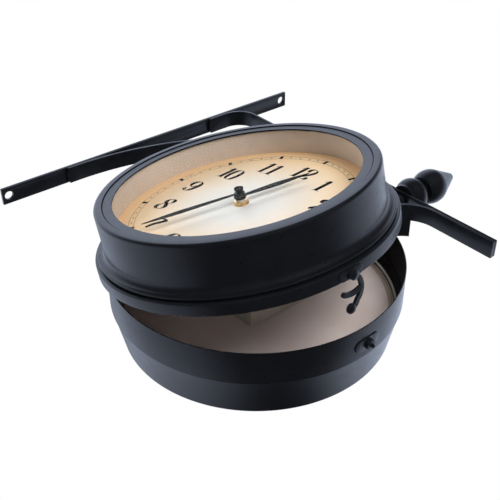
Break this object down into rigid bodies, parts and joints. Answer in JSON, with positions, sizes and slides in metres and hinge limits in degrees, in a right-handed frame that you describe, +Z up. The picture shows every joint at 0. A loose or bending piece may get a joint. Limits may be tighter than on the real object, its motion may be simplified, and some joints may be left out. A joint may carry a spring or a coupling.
{
  "type": "double-sided wall clock",
  "caption": "Round double-sided wall clock on a flat-bar bracket with an acorn finial; hinged drum halves with a hook latch, each with its own dial.",
  "frame": {"origin": "midway between the wall plate's two screw holes, on the plate's back face", "axes": "+X out from the wall, +Z up along the wall plate, +Y towards the rear dial"},
  "size_m": [0.3682, 0.1523, 0.3664],
  "materials": {
    "black_paint": "satin charcoal-black enamel on sheet steel and flat bar, paler along edges",
    "cream_paint": "matt cream-beige paint",
    "dial_card": "aged cream print, warmer towards the edge; plain white back",
    "clear_glass": "clear flat glass",
    "polished_brass": "polished, slightly tarnished",
    "hand_black": "satin black enamel",
    "pale_plastic": "pale moulded plastic",
    "battery_jacket": "printed steel jacket",
    "zinc_steel": "zinc plated",
    "board_green": "lacquered board",
    "coil_copper": "lacquered copper winding"
  },
  "bodies": {
    "bracket_and_rear_half": {"wall_plate": "black_paint", "support_arm": "black_paint", "curved_brace": "black_paint", "hanger_outer_strap": "black_paint", "hanger_inner_strap": "black_paint", "hanger_screws": "black_paint", "hanger_nuts": "zinc_steel", "finial_base": "black_paint", "finial_acorn": "black_paint", "finial_stud": "zinc_steel", "finial_nut": "black_paint", "hinge_rear_leaf": "black_paint", "hinge_pin": "zinc_steel", "hinge_rear_rivets": "black_paint", "stud_plate": "black_paint", "catch_stud": "black_paint", "rear_shell": "black_paint", "rear_glass": "clear_glass", "rear_reflector_ring": "cream_paint", "rear_dial": "dial_card", "rear_movement_case": "pale_plastic", "rear_movement_cover": "pale_plastic", "rear_battery": "battery_jacket", "rear_battery_contacts": "zinc_steel", "rear_circuit_board": "board_green", "rear_drive_coil": "coil_copper", "rear_bush_washer": "polished_brass", "rear_bush_nut": "polished_brass"},
    "front_door": {"front_shell": "black_paint", "front_glass": "clear_glass", "front_reflector_ring": "cream_paint", "front_dial": "dial_card", "front_movement_case": "pale_plastic", "front_movement_cover": "pale_plastic", "front_battery": "battery_jacket", "front_battery_contacts": "zinc_steel", "front_circuit_board": "board_green", "front_drive_coil": "coil_copper", "front_bush_washer": "polished_brass", "front_bush_nut": "polished_brass", "hinge_door_leaf": "black_paint", "hinge_door_rivets": "black_paint", "latch_plate": "black_paint", "latch_spacer": "black_paint", "latch_pivot": "black_paint"},
    "latch_hook": {"latch_hook": "black_paint"},
    "front_minute_train": {"front_minute_arbor": "polished_brass", "front_minute_hand": "hand_black", "front_hand_nut": "hand_black"},
    "front_hour_train": {"front_hour_tube": "polished_brass", "front_hour_hand": "hand_black"},
    "front_setting_train": {"front_setting_knob": "pale_plastic"},
    "rear_minute_train": {"rear_minute_arbor": "polished_brass", "rear_minute_hand": "hand_black", "rear_hand_nut": "hand_black"},
    "rear_hour_train": {"rear_hour_tube": "polished_brass", "rear_hour_hand": "hand_black"},
    "rear_setting_train": {"rear_setting_knob": "pale_plastic"}
  },
  "joints": [
    {"name": "door_hinge", "type": "hinge", "parent": "bracket_and_rear_half", "child": "front_door", "pos_m": [0.12515, 0.0148, -0.0999], "axis": [0.2773, 0, -0.9608], "range_deg": [-12.35, 77.66]},
    {"name": "latch_swing", "type": "hinge", "parent": "front_door", "child": "latch_hook", "pos_m": [0.35304, -0.06308, -0.07176], "axis": [-0.9787, 0.2054, 0.0062], "range_deg": [-110, 110]},
    {"name": "front_minute_turn", "type": "hinge", "parent": "front_door", "child": "front_minute_train", "pos_m": [0.23262, -0.05268, -0.06888], "axis": [0.2054, 0.9769, 0.0593], "continuous": true},
    {"name": "front_hour_turn", "type": "hinge", "parent": "front_door", "child": "front_hour_train", "pos_m": [0.23262, -0.05268, -0.06888], "axis": [0.2054, 0.9769, 0.0593], "continuous": true},
    {"name": "front_setting_turn", "type": "hinge", "parent": "front_door", "child": "front_setting_train", "pos_m": [0.24012, -0.05481, -0.05975], "axis": [0.2054, 0.9769, 0.0593], "continuous": true},
    {"name": "rear_minute_turn", "type": "hinge", "parent": "bracket_and_rear_half", "child": "rear_minute_train", "pos_m": [0.244, 0.0228, -0.0656], "axis": [0, -1, 0], "continuous": true},
    {"name": "rear_hour_turn", "type": "hinge", "parent": "bracket_and_rear_half", "child": "rear_hour_train", "pos_m": [0.244, 0.0228, -0.0656], "axis": [0, -1, 0], "continuous": true},
    {"name": "rear_setting_turn", "type": "hinge", "parent": "bracket_and_rear_half", "child": "rear_setting_train", "pos_m": [0.23629, 0.0228, -0.05641], "axis": [0, -1, 0], "continuous": true}
  ],
  "couplings": [
    {"joint": "front_hour_turn", "follows": "front_minute_turn", "ratio": 0.083333},
    {"joint": "front_setting_turn", "follows": "front_minute_turn", "ratio": -0.33333},
    {"joint": "rear_hour_turn", "follows": "rear_minute_turn", "ratio": 0.083333},
    {"joint": "rear_setting_turn", "follows": "rear_minute_turn", "ratio": -0.33333}
  ]
}
